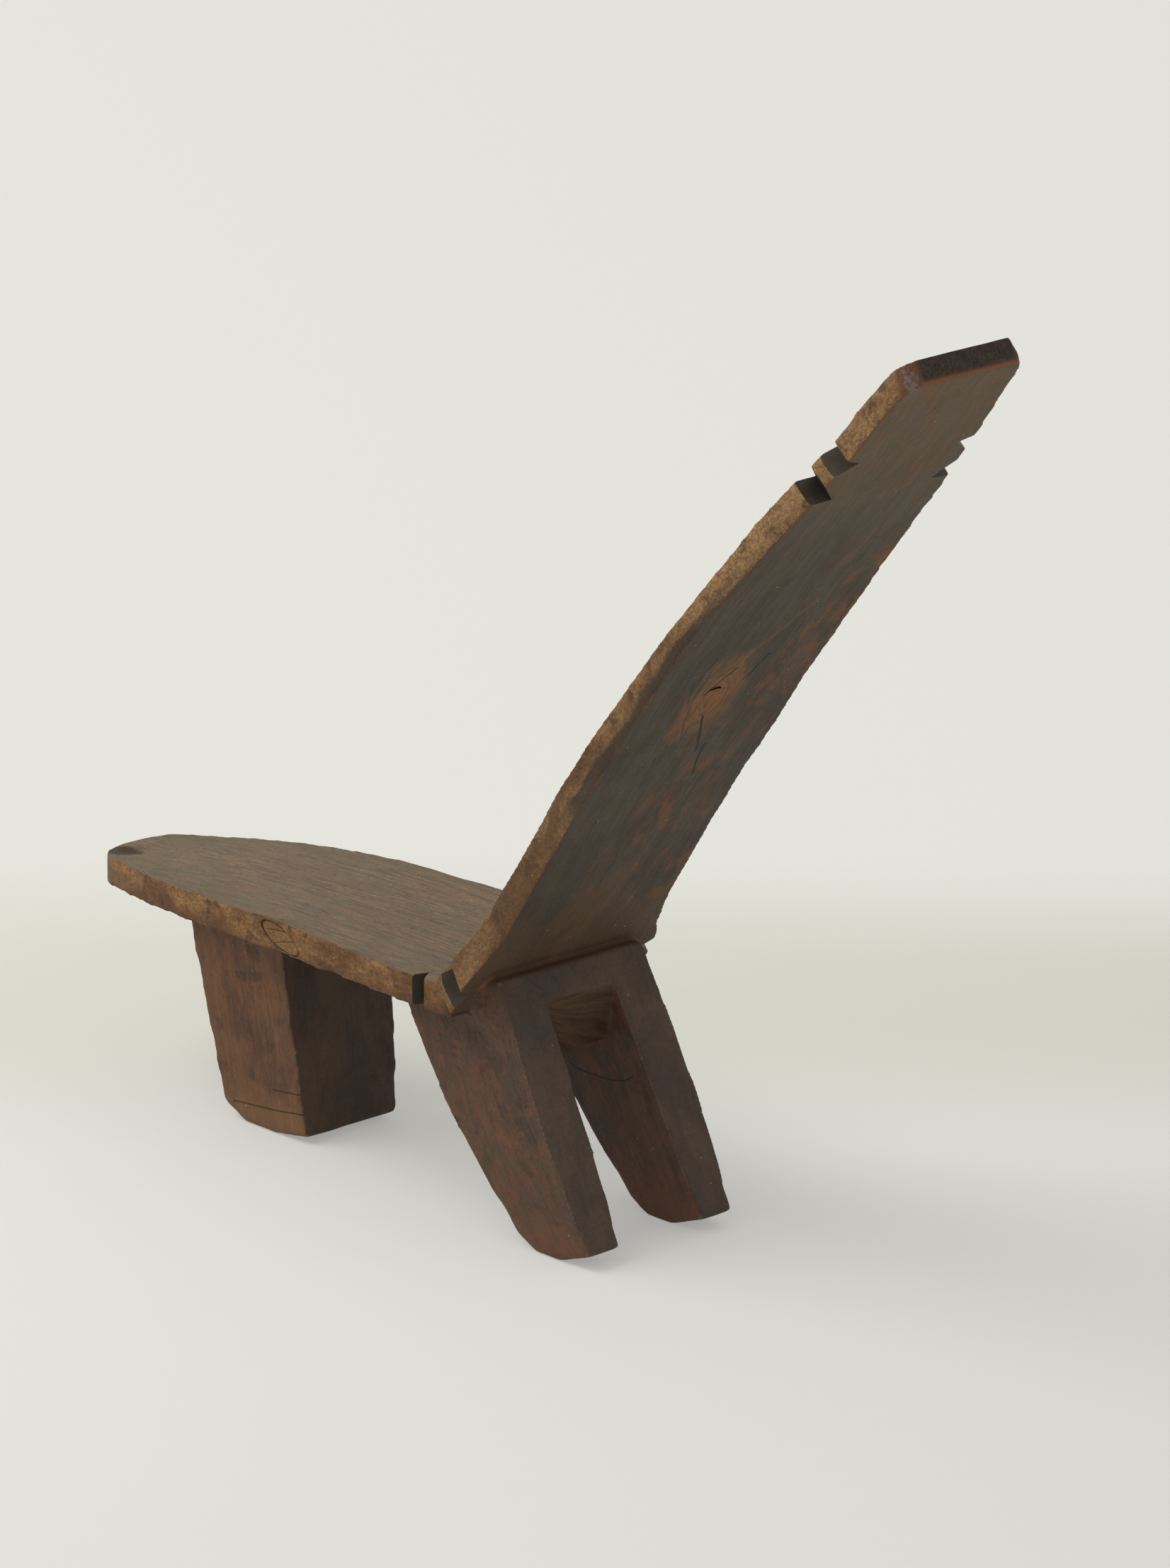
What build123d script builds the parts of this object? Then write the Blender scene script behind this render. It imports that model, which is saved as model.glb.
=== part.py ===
from build123d import *
import math
import os

# Low reclining chair, carved from one curved log: a pointed seat on a broad front
# leg, and a tall bowed backrest on two raked rear legs.  Millimetres, +Z up.
# X runs across the seat, -Y is the nose of the seat, +Y is the side the backrest
# leans to, and the origin is on the floor under the middle of the chair.
# The members meet face to face, where the log turns from one into the next.

# Seat board
seat_height = 195.0  # top face above the floor
seat_thickness = 24.0
seat_length = 470.0  # tip of the nose to the foot of the backrest
seat_waist_width = 182.0  # where the rounded nose begins
seat_rear_width = 200.0  # at the notches beside the backrest
nose_length = 294.0  # the tapering, drooping front of the seat
nose_drop = 20.0  # how far the tip lies below the flat of the seat

# Backrest plank
back_length = 662.0  # along its front face, from the seat to the top
back_lean = 52.0  # degrees from the floor, over the whole length
back_bow = 16.5  # how far the front face swells beyond a straight line
back_foot_thickness = 23.0
back_top_thickness = 16.0
back_shoulder_inset = 1.0  # from the seat's side at the corner in to the shoulder
back_width = 168.0  # along the middle stretch
back_top_width = 110.0
shoulder_rise = 72.0  # over which the shoulder narrows to the plank
taper_length = 257.0  # the upper stretch that narrows to the top
back_corner_radius = 14.0

# Corner between seat and backrest
mitre_angle = 55.7  # slope of the face where the seat ends
corner_notch_depth = 12.5  # of the notches in the seat and below the shoulder
seat_notch_width = 13.0
seat_notch_root = 5.0  # the root lies behind the notch's front side
seat_notch_gap = 24.0  # from the notch's front side to the foot of the backrest
shoulder_height = 19.0  # of the notch below the shoulder, along the backrest

# Paired notches near the top of the backrest
upper_notch_top = 79.0  # upper corner of the upper notch, below the backrest's top
upper_notch_width = 18.0
upper_notch_root = 5.5  # the root lies this far below the upper corner
upper_notch_depth = 15.0
tooth_flat = 7.0  # outer face of the tooth between the notches
lower_notch_width = 21.0
lower_notch_root = 1.5  # the root lies this far above the lower corner
lower_notch_depth = 20.0

# Front leg, under the nose
front_leg_setback = 138.0  # tip of the nose to the front of the leg's top
front_leg_top_width = 116.0
front_leg_top_depth = 109.0
front_leg_foot_width = 94.0
front_leg_foot_depth = 96.0
front_leg_rake = 34.0  # the foot's front edge lies behind the top's front edge
front_toe_rise = 11.0
front_toe_run = 19.0
front_heel_rise = 6.0
front_heel_run = 38.0

# Rear legs and the bridge that joins them under the backrest
rear_leg_top_inset = 28.0  # from the seat's side at the corner in to the leg
rear_leg_middle_inset = 22.0
rear_leg_foot_inset = 26.5
rear_gap_top_width = 66.0  # between the legs
rear_gap_foot_width = 82.0
rear_ledge = 10.0  # the legs' top stands out behind the backrest
rear_ledge_rise = 4.0  # above the top of the seat
rear_leg_setout = 65.0  # top of the front edge, before the foot of the backrest
rear_leg_bulge = 5.0
rear_heel_reach = 140.0  # from the foot of the backrest back to the heel
rear_heel_rise = 12.0
rear_heel_run = 33.0
rear_toe_rise = 9.0
rear_toe_run = 16.0
rear_sole_length = 27.0  # the worn flat between toe and heel
bridge_lip = 21.0  # height of the bridge's rear face, above the gap
bridge_wall = 48.0  # height of the gap's end wall, below the rear face
bridge_wall_slant = 10.0  # the wall's foot lies in front of its top
bridge_front = 21.0  # height of the bridge's front face, below the seat

# Branch knots, each encased in its socket
edge_knot_length = 46.0
edge_knot_height = 16.0
edge_knot_tilt = 18.0
edge_knot_setback = 288.0  # behind the tip of the nose
edge_knot_drop = 12.0  # below the top of the seat, so that the knot stays inside it
edge_knot_depth = 28.0
back_knot_width = 22.0
back_knot_length = 30.0
back_knot_depth = 11.0
back_knot_offset = 15.0  # towards +X from the middle of the plank
back_knot_height = 304.0  # along the backrest from its foot

# Places that follow from those sizes
lean = math.radians(back_lean)
bow_turn = 4 * back_bow / back_length
foot_lean = lean + bow_turn
top_lean = lean - bow_turn
mitre = math.radians(mitre_angle)
back_reach = back_length * math.cos(lean) + back_top_thickness * math.sin(top_lean)
corner_y = (seat_length - back_reach) / 2
nose_y = corner_y - seat_length
waist_y = nose_y + nose_length
nose_radius = (nose_length**2 + nose_drop**2) / (2 * nose_drop)
seat_bottom = seat_height - seat_thickness
seat_end_y = corner_y + seat_thickness / math.tan(mitre)
seat_notch_y = corner_y - seat_notch_gap
corner = Vector(0, corner_y, seat_height)
up_back = Vector(0, math.cos(lean), math.sin(lean))
into_front = Vector(0, -math.sin(lean), math.cos(lean))
front_top = corner + up_back * back_length
top_end = Vector(0, math.sin(top_lean), -math.cos(top_lean)) * back_top_thickness
rear_top = front_top + top_end
mitre_length = back_foot_thickness / math.sin(mitre + foot_lean)
rear_foot = corner + Vector(0, math.cos(mitre), -math.sin(mitre)) * mitre_length
front_middle = (corner + front_top) / 2 + into_front * back_bow
rear_middle = (rear_foot + rear_top) / 2 + into_front * back_bow
back_middle_thickness = (back_foot_thickness + back_top_thickness) / 2
front_plane = Plane(origin=corner, x_dir=(1, 0, 0), z_dir=into_front)
half_rear = seat_rear_width / 2
half_waist = seat_waist_width / 2
half_shoulder = half_rear - back_shoulder_inset
half_back = back_width / 2
half_top = back_top_width / 2
leg_top_x = half_rear - rear_leg_top_inset
leg_middle_x = half_rear - rear_leg_middle_inset
leg_foot_x = half_rear - rear_leg_foot_inset
root_x = half_rear - corner_notch_depth
taper_start = back_length - taper_length
ledge_z = seat_height + rear_ledge_rise
ledge_y = rear_foot.Y + (ledge_z - rear_foot.Z) / math.tan(foot_lean) + rear_ledge
heel_y = corner_y + rear_heel_reach
sole_rear_y = heel_y - rear_heel_run
sole_front_y = sole_rear_y - rear_sole_length
toe_y = sole_front_y - rear_toe_run
leg_front_y = corner_y - rear_leg_setout
everywhere = back_length + seat_length  # reaches right across the chair
over = 1.0  # a cut runs this far past the face that it opens


def side(*points):
    """Places in the side view, as points of a sketch on Plane.YZ."""
    return [(p.Y, p.Z) for p in points]


def taper_edge(height):
    """Half the width of the backrest at a height on its upper taper."""
    share = (height - taper_start) / taper_length
    return half_back + (half_top - half_back) * share


def worn_away(edge_y, run, rise):
    """Side view of the corner worn off a sole: rise up its face, run along its flat."""
    return [
        (edge_y + run, 0),
        (edge_y - run, 2 * rise),
        (edge_y - run, -over),
        (edge_y + run, -over),
    ]


# Seat: side view with the drooping nose, cut to its pointed plan
with BuildPart() as seat:
    with BuildSketch(Plane.YZ):
        with BuildLine():
            Line((corner_y, seat_height), (waist_y, seat_height))
            RadiusArc((waist_y, seat_height), (nose_y, seat_height - nose_drop), -nose_radius)
            Line((nose_y, seat_height - nose_drop), (nose_y, seat_bottom - nose_drop))
            RadiusArc((nose_y, seat_bottom - nose_drop), (waist_y, seat_bottom), nose_radius)
            Line((waist_y, seat_bottom), (seat_end_y, seat_bottom))
            Line((seat_end_y, seat_bottom), (corner_y, seat_height))
        make_face()
    extrude(amount=everywhere, both=True)
    with BuildSketch(Plane.XY):
        with BuildLine():
            EllipticalCenterArc(
                (0, waist_y), half_waist, nose_length, start_angle=180, arc_size=180
            )
            Polyline(
                (half_waist, waist_y),
                (half_rear, seat_notch_y),
                (half_rear, seat_end_y),
                (-half_rear, seat_end_y),
                (-half_rear, seat_notch_y),
                (-half_waist, waist_y),
            )
        make_face()
    extrude(amount=everywhere, mode=Mode.INTERSECT)
    with BuildSketch(Plane.XY):
        with BuildLine():
            Polyline(
                (half_rear + over, seat_notch_y),
                (root_x, seat_notch_y + seat_notch_root),
                (half_rear + over, seat_notch_y + seat_notch_width),
                close=True,
            )
        make_face()
        mirror(about=Plane.YZ)
    extrude(amount=everywhere, mode=Mode.SUBTRACT)

# Knot in the right edge of the seat: an oval plug, flush with the edge
with BuildPart() as seat_edge_knot:
    with BuildSketch(Plane.YZ.offset(half_waist - edge_knot_depth)):
        with Locations((nose_y + edge_knot_setback, seat_height - edge_knot_drop)):
            Ellipse(edge_knot_length / 2, edge_knot_height / 2, rotation=-edge_knot_tilt)
    extrude(amount=everywhere)
    add(seat.part, mode=Mode.INTERSECT)
with seat:
    add(seat_edge_knot.part, mode=Mode.SUBTRACT)

# Backrest: side view of the bowed plank, cut to its front outline
upper_s = back_length - upper_notch_top
tooth_s = upper_s - upper_notch_width
lower_s = tooth_s - tooth_flat - lower_notch_width
with BuildPart() as backrest:
    with BuildSketch(Plane.YZ):
        with BuildLine():
            ThreePointArc(*side(corner, front_middle, front_top))
            Line(*side(front_top, rear_top))
            ThreePointArc(*side(rear_top, rear_middle, rear_foot))
            Line(*side(rear_foot, corner))
        make_face()
    extrude(amount=everywhere, both=True)
    with BuildSketch(front_plane):
        with BuildLine():
            shoulder = TangentArc(
                (half_back, shoulder_height + shoulder_rise),
                (half_shoulder, shoulder_height),
                tangent=(0, -1),
            )
            Polyline(
                shoulder @ 1,
                (root_x, shoulder_height),
                (root_x, -everywhere),
                (0, -everywhere),
                (0, back_length + over),
                (taper_edge(back_length + over), back_length + over),
                (half_back, taper_start),
                shoulder @ 0,
            )
        make_face()
        mirror(about=Plane.YZ)
    extrude(amount=everywhere, both=True, mode=Mode.INTERSECT)
    top_face_edges = faces().sort_by(Axis.Z)[-1].edges().sort_by(Axis.X)
    fillet([top_face_edges[0], top_face_edges[-1]], radius=back_corner_radius)
    with BuildSketch(front_plane):
        with BuildLine():
            Polyline(
                (taper_edge(upper_s) + over, upper_s),
                (taper_edge(upper_s) - upper_notch_depth, upper_s - upper_notch_root),
                (taper_edge(tooth_s) + over, tooth_s),
                close=True,
            )
        make_face()
        with BuildLine():
            Polyline(
                (taper_edge(lower_s) + over, lower_s),
                (taper_edge(lower_s) - lower_notch_depth, lower_s + lower_notch_root),
                (taper_edge(tooth_s) + over, lower_s + lower_notch_width),
                close=True,
            )
        make_face()
        mirror(about=Plane.YZ)
    extrude(amount=everywhere, both=True, mode=Mode.SUBTRACT)

# Knot in the rear face of the backrest: an oval plug, flush with the face
knot_floor = back_middle_thickness - back_bow - back_knot_depth
with BuildPart() as backrest_knot:
    with BuildSketch(front_plane.offset(-knot_floor)):
        with Locations((back_knot_offset, back_knot_height)):
            Ellipse(back_knot_width / 2, back_knot_length / 2)
    extrude(amount=-everywhere)
    add(backrest.part, mode=Mode.INTERSECT)
with backrest:
    add(backrest_knot.part, mode=Mode.SUBTRACT)

# Front leg: a block that narrows and leans back, up to the underside of the seat
top_front_y = nose_y + front_leg_setback
foot_front_y = top_front_y + front_leg_rake
foot_rear_y = foot_front_y + front_leg_foot_depth
with BuildPart() as front_leg:
    with BuildSketch(Plane.XY):
        with Locations((0, foot_front_y + front_leg_foot_depth / 2)):
            Rectangle(front_leg_foot_width, front_leg_foot_depth)
    with BuildSketch(Plane.XY.offset(seat_bottom)):
        with Locations((0, top_front_y + front_leg_top_depth / 2)):
            Rectangle(front_leg_top_width, front_leg_top_depth)
    loft()
    with BuildSketch(Plane.YZ):
        with BuildLine():
            Polyline(*worn_away(foot_front_y, front_toe_run, front_toe_rise), close=True)
        make_face()
        with BuildLine():
            Polyline(*worn_away(foot_rear_y, -front_heel_run, front_heel_rise), close=True)
        make_face()
    extrude(amount=everywhere, both=True, mode=Mode.SUBTRACT)
    add(seat.part, mode=Mode.SUBTRACT)

# Right rear leg: raked side view with a worn sole, cut to its front outline
plank_foot = (corner + rear_foot) / 2
front_edge_middle_y = (leg_front_y + toe_y) / 2 - rear_leg_bulge * math.sin(lean)
front_edge_middle_z = (seat_bottom + rear_toe_rise) / 2 - rear_leg_bulge * math.cos(lean)
with BuildPart() as rear_leg_right:
    with BuildSketch(Plane.YZ):
        with BuildLine():
            ThreePointArc(
                (leg_front_y, seat_bottom),
                (front_edge_middle_y, front_edge_middle_z),
                (toe_y, rear_toe_rise),
            )
            Polyline(
                (toe_y, rear_toe_rise),
                (sole_front_y, 0),
                (sole_rear_y, 0),
                (heel_y, rear_heel_rise),
                (ledge_y, ledge_z),
                (plank_foot.Y + (ledge_z - plank_foot.Z) / math.tan(lean), ledge_z),
                (plank_foot.Y, plank_foot.Z),
                (plank_foot.Y - seat_thickness / 2, plank_foot.Z),
                (leg_front_y, seat_bottom + seat_thickness / 2),
                (leg_front_y, seat_bottom),
            )
        make_face()
    extrude(amount=everywhere, both=True)
    with BuildSketch(Plane.XZ):
        with BuildLine():
            ThreePointArc((leg_foot_x, 0), (leg_middle_x, ledge_z / 2), (leg_top_x, ledge_z))
            Polyline(
                (leg_top_x, ledge_z),
                (rear_gap_top_width / 2, ledge_z),
                (rear_gap_foot_width / 2, 0),
                (leg_foot_x, 0),
            )
        make_face()
    extrude(amount=everywhere, both=True, mode=Mode.INTERSECT)
    add(seat.part, mode=Mode.SUBTRACT)
    add(backrest.part, mode=Mode.SUBTRACT)

# Left rear leg
with BuildPart() as rear_leg_left:
    add(mirror(rear_leg_right.part, about=Plane.YZ))

# Bridge: fills the space between the legs' tops, above the gap
heel_slope = (heel_y - ledge_y) / (ledge_z - rear_heel_rise)
front_slope = (toe_y - leg_front_y) / (seat_bottom - rear_toe_rise)
lip_z = ledge_z - bridge_lip
lip_y = ledge_y + bridge_lip * heel_slope
front_foot_y = leg_front_y + bridge_front * front_slope
with BuildPart() as rear_leg_bridge:
    with BuildSketch(Plane.YZ):
        with BuildLine():
            Polyline(
                (leg_front_y, seat_bottom),
                (front_foot_y, seat_bottom - bridge_front),
                (lip_y - bridge_wall_slant, lip_z - bridge_wall),
                (lip_y, lip_z),
                (ledge_y, ledge_z),
                (plank_foot.Y + (ledge_z - plank_foot.Z) / math.tan(lean), ledge_z),
                (plank_foot.Y, plank_foot.Z),
                (plank_foot.Y - seat_thickness / 2, plank_foot.Z),
                (leg_front_y, seat_bottom + seat_thickness / 2),
                close=True,
            )
        make_face()
    extrude(amount=rear_gap_foot_width / 2, both=True)
    for neighbour in (seat, backrest, rear_leg_right, rear_leg_left):
        add(neighbour.part, mode=Mode.SUBTRACT)

os.makedirs("parts", exist_ok=True)

seat.part.label = "seat"
export_step(seat.part, "parts/seat.step")
seat_edge_knot.part.label = "seat_edge_knot"
export_step(seat_edge_knot.part, "parts/seat_edge_knot.step")
backrest.part.label = "backrest"
export_step(backrest.part, "parts/backrest.step")
backrest_knot.part.label = "backrest_knot"
export_step(backrest_knot.part, "parts/backrest_knot.step")
front_leg.part.label = "front_leg"
export_step(front_leg.part, "parts/front_leg.step")
rear_leg_right.part.label = "rear_leg_right"
export_step(rear_leg_right.part, "parts/rear_leg_right.step")
rear_leg_left.part.label = "rear_leg_left"
export_step(rear_leg_left.part, "parts/rear_leg_left.step")
rear_leg_bridge.part.label = "rear_leg_bridge"
export_step(rear_leg_bridge.part, "parts/rear_leg_bridge.step")
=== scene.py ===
import math
import bpy
import numpy as np
from mathutils import Matrix, Vector


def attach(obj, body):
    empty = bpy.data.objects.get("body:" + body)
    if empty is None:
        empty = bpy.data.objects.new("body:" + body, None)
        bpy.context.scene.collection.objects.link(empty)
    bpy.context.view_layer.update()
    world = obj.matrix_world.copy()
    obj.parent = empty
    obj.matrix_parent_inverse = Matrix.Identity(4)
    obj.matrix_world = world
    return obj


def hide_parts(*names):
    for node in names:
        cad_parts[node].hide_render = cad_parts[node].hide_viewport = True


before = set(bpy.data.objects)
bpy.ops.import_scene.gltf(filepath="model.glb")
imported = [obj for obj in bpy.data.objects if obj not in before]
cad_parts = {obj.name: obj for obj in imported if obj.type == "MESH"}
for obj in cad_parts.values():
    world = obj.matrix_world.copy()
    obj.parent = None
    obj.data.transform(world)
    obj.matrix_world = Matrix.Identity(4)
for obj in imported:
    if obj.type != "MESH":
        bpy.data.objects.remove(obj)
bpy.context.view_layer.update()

# Camera: a long lens at a standing person's eye height, four metres off behind the
# right rear leg, so that the back of the backrest and the seat's right edge show.
camera_lens = bpy.data.cameras.new("camera")
camera_lens.lens = 130.08
camera_lens.sensor_width = 36
camera = bpy.data.objects.new("camera", camera_lens)
camera.matrix_world = Matrix((
    (-0.72124, -0.18612, 0.66720, 2.7581),
    (0.69259, -0.20919, 0.69032, 2.9321),
    (0.01108, 0.95999, 0.27978, 1.4945),
    (0, 0, 0, 1),
))
bpy.context.scene.collection.objects.link(camera)
bpy.context.scene.camera = camera
bpy.context.scene.view_settings.view_transform = "Standard"

# Backdrop: one wide roll of pale paper, flat under the chair, rolled up behind it in a
# big curve and hung straight.  It carries the chair's shadow, and a painted shade on the
# floor just before the roll.
floor_start, floor_end = -9.0, 0.42  # metres behind the middle of the chair
roll_radius = 0.95
wall_height = 7.0
paper_width = 16
away = Vector((-0.695, -0.719, 0)).normalized()


def only(*objects):
    """Selects these objects alone, and makes the first one active."""
    bpy.ops.object.select_all(action="DESELECT")
    for thing in objects:
        thing.select_set(True)
    bpy.context.view_layer.objects.active = objects[0]


def plug(tree, socket, value):
    """Joins a socket to another node's output, or sets its own value."""
    if isinstance(value, bpy.types.NodeSocket):
        tree.links.new(value, socket)
    else:
        socket.default_value = value


def add_node(tree, kind, *values, output=0, named=None, **settings):
    """A node with its inputs filled in order, and some by name; gives one output."""
    node = tree.nodes.new("ShaderNode" + kind)
    for key, value in settings.items():
        setattr(node, key, value)
    for socket, value in zip(node.inputs, values):
        plug(tree, socket, value)
    for key, value in (named or {}).items():
        plug(tree, node.inputs[key], value)
    return node.outputs[output]


def paint(red, green, blue):
    """A colour from its usual 0 to 255 numbers."""
    shares = (c / 255 for c in (red, green, blue))
    return (*(((s + 0.055) / 1.055) ** 2.4 if s > 0.04 else s / 12.92 for s in shares), 1)


def blend_colours(tree, share, first, second):
    """Goes from the first colour to the second while the share goes from 0 to 1."""
    node = tree.nodes.new("ShaderNodeMix")
    node.data_type = "RGBA"
    plug(tree, node.inputs[0], share)
    plug(tree, node.inputs[6], first)
    plug(tree, node.inputs[7], second)
    return node.outputs[2]


def ease(tree, value, low, high, bottom=0.0, top=1.0):
    """A smooth step from bottom to top, while value goes from low to high."""
    return add_node(
        tree, "MapRange", value, low, high, bottom, top, interpolation_type="SMOOTHSTEP"
    )


def maths(tree, operation, first, second=0.0, third=0.0):
    """One sum on numbers that change over the surface."""
    return add_node(tree, "Math", first, second, third, operation=operation)


def times(tree, first, second):
    return maths(tree, "MULTIPLY", first, second)


bpy.ops.object.select_all(action="DESELECT")
bpy.ops.mesh.primitive_grid_add(x_subdivisions=1, y_subdivisions=120, size=1)
paper = bpy.context.object
paper.name = "paper_roll"
flat = floor_end - floor_start
curve = roll_radius * math.pi / 2
for vertex in paper.data.vertices:
    along = (vertex.co.y + 0.5) * (flat + curve + wall_height)
    if along < flat:
        out, height = floor_start + along, 0.0
    elif along < flat + curve:
        turn = (along - flat) / roll_radius
        out = floor_end + roll_radius * math.sin(turn)
        height = roll_radius * (1 - math.cos(turn))
    else:
        out, height = floor_end + roll_radius, roll_radius + along - flat - curve
    across = -paper_width * vertex.co.x  # this way round, its face is to the chair
    vertex.co = away * out + Vector((-away.y, away.x, 0)) * across + Vector((0, 0, height))
bpy.ops.object.shade_smooth()
paper_look = bpy.data.materials.new("backdrop_paper")
paper_look.use_nodes = True
tree = paper_look.node_tree
tree.nodes.clear()
place = add_node(tree, "TexCoord", output=3)
height = add_node(tree, "SeparateXYZ", place, output=2)
out = add_node(tree, "VectorMath", place, away, output=1, operation="DOT_PRODUCT")
lift = (0.0, 0.05)  # metres up, where the look of the floor turns into the wall's
# the floor is painted darker just before the roll, a painted shade, and the roll and the wall are
# lighter again
near_floor, far_floor, wall = paint(226, 226, 223), paint(216, 216, 208), paint(229, 229, 222)
paper_colour = blend_colours(tree, ease(tree, out, 0.05, floor_end), near_floor, far_floor)
paper_colour = blend_colours(tree, ease(tree, height, *lift), paper_colour, wall)
matt = add_node(tree, "BsdfDiffuse", paper_colour)
glow = add_node(tree, "Emission", paper_colour, 1.0)
rays = tree.nodes.new("ShaderNodeLightPath")
seen = maths(tree, "MAXIMUM", rays.outputs["Is Camera Ray"], rays.outputs["Is Glossy Ray"])
seen = maths(tree, "MAXIMUM", seen, rays.outputs["Is Transmission Ray"])
floor_glow, wall_glow = 0.42, 0.85
glow_share = times(tree, seen, ease(tree, height, *lift, floor_glow, wall_glow))
shader = add_node(tree, "MixShader", glow_share, matt, glow)
# looked at from behind, the paper isn't there, so that it never hides the chair
behind_it = tree.nodes.new("ShaderNodeNewGeometry").outputs["Backfacing"]
behind_it = times(tree, behind_it, rays.outputs["Is Camera Ray"])
shader = add_node(tree, "MixShader", behind_it, shader, add_node(tree, "BsdfTransparent"))
tree.links.new(shader, tree.nodes.new("ShaderNodeOutputMaterial").inputs[0])
paper.data.materials.append(paper_look)

# Light: one big soft lamp high on the side of the seat's right edge, and the even
# light of a white room.
world = bpy.data.worlds.new("white_room")
world.use_nodes = True
world.node_tree.nodes["Background"].inputs[0].default_value = (1.0, 0.985, 0.94, 1)
world.node_tree.nodes["Background"].inputs[1].default_value = 0.62
bpy.context.scene.world = world
soft_box = bpy.data.lights.new("soft_box", "AREA")
soft_box.shape = "RECTANGLE"
soft_box.size = 2.2
soft_box.size_y = 2.2
soft_box.energy = 62
soft_box.color = (1.0, 0.97, 0.91)
lamp = bpy.data.objects.new("soft_box", soft_box)
lamp.location = (1.5, -1.5, 2.7)
to_chair = Vector((0, 0, 0.25)) - lamp.location
lamp.rotation_euler = to_chair.to_track_quat("-Z", "Y").to_euler()
bpy.context.scene.collection.objects.link(lamp)

# The log: the whole chair is one carving from a curved log, so the wood runs on from
# member to member.  The rough body is put together here, hewn all over, and then
# parted into the members along planes inside the wood.
finest = 0.0019  # metres between the hewn log's corners
touching = 0.00001  # metres, within which two corners are one
bow_centre_y, bow_centre_z, bow_radius = 2838.9, -1583.3, 3328.3  # millimetres
corner_y, seat_top = 25.4, 195.0
foot_angle = math.atan2(seat_top - bow_centre_z, corner_y - bow_centre_y)
foot_thick, top_thick, plank_length = 23, 16, 662


def take_block(node):
    """A merged copy of a member's solid, to be carved further."""
    block = bpy.data.objects.new(node + "_block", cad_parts[node].data.copy())
    bpy.context.scene.collection.objects.link(block)
    only(block)
    bpy.ops.object.mode_set(mode="EDIT")
    bpy.ops.mesh.select_all(action="SELECT")
    bpy.ops.mesh.remove_doubles(threshold=touching)
    bpy.ops.object.mode_set(mode="OBJECT")
    return block


def side_prism(name, outline, left, right):
    """A prism across the chair, from its side view in millimetres."""
    bpy.ops.object.select_all(action="DESELECT")
    bpy.ops.mesh.primitive_circle_add(vertices=len(outline), radius=1, fill_type="NGON")
    prism = bpy.context.object
    prism.name = name
    for vertex, (y, z) in zip(prism.data.vertices, outline):
        vertex.co = Vector((left, y, z)) / 1000
    bpy.ops.object.mode_set(mode="EDIT")
    bpy.ops.mesh.select_all(action="SELECT")
    across = ((right - left) / 1000, 0, 0)
    bpy.ops.mesh.extrude_region_move(TRANSFORM_OT_translate={"value": across})
    bpy.ops.mesh.select_all(action="SELECT")
    bpy.ops.mesh.normals_make_consistent(inside=False)
    bpy.ops.object.mode_set(mode="OBJECT")
    return prism


def six_sided(name, corners):
    """A block whose corners, named by their signs, are at places in millimetres."""
    bpy.ops.object.select_all(action="DESELECT")
    bpy.ops.mesh.primitive_cube_add(size=2)
    thing = bpy.context.object
    thing.name = name
    for vertex in thing.data.vertices:
        signs = tuple(1 if c > 0 else -1 for c in vertex.co)
        vertex.co = Vector(corners[signs]) / 1000
    bpy.ops.object.mode_set(mode="EDIT")
    bpy.ops.mesh.select_all(action="SELECT")
    bpy.ops.mesh.remove_doubles(threshold=touching)
    bpy.ops.mesh.normals_make_consistent(inside=False)
    bpy.ops.object.mode_set(mode="OBJECT")
    return thing


def plank_point(across, up, behind):
    """A place on the bowed plank: across it, up it from its foot, behind its front."""
    turn = foot_angle - up / bow_radius
    radius = bow_radius - behind
    return (across, bow_centre_y + radius * math.cos(turn), bow_centre_z + radius * math.sin(turn))


def plank_wedge(name, turn, corners, front, rear):
    """A block in the plank, from its corners in front view and how deep it goes."""
    return six_sided(name, {
        (side, end, face): plank_point(turn * across, up, behind)
        for (side, end), (across, up) in corners.items()
        for face, behind in ((1, front), (-1, rear))
    })


def finish_with(thing, kind, **settings):
    """Adds a modifier to a piece and applies it."""
    only(thing)
    bpy.ops.object.modifier_add(type=kind)
    modifier = thing.modifiers[-1]
    for key, value in settings.items():
        setattr(modifier, key, value)
    bpy.ops.object.modifier_apply(modifier=modifier.name)


def read_places(thing):
    """A mesh's corners in millimetres, as three rows of numbers."""
    flat_list = np.empty(len(thing.data.vertices) * 3, np.float32)
    thing.data.vertices.foreach_get("co", flat_list)
    return flat_list.reshape(-1, 3).T.astype(float) * 1000


def write_places(thing, rows):
    """Puts a mesh's corners at the places in three rows of millimetres."""
    places = (np.stack(rows, 1) / 1000).astype(np.float32)
    thing.data.vertices.foreach_set("co", places.ravel())
    thing.data.update()


def fair(values, low, high):
    """A smooth step from 0 to 1, while the values go from low to high."""
    share = np.clip((values - low) / (high - low), 0, 1)
    return share * share * (3 - 2 * share)


def ripples(along, lengths, seed):
    """An uneven wave of about -1 to 1, from a few waves of these lengths."""
    shifts = np.random.default_rng(seed).uniform(0, 2 * math.pi, len(lengths))
    waves = (np.sin(2 * math.pi * along / l + shift) for l, shift in zip(lengths, shifts))
    return sum(waves) / len(lengths) ** 0.5


def press_flat(rows, on_plane, outward):
    """Pushes what stands out beyond a plane back onto it."""
    out = outward / np.linalg.norm(outward)
    beyond = np.clip(sum((row - p) * o for row, p, o in zip(rows, on_plane, out)), 0, None)
    return [row - beyond * o for row, o in zip(rows, out)]


blocks = [
    take_block(node)
    for node in (
        "seat", "backrest", "front_leg", "rear_leg_right", "rear_leg_left", "rear_leg_bridge",
        "seat_edge_knot", "backrest_knot",
    )
]
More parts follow.
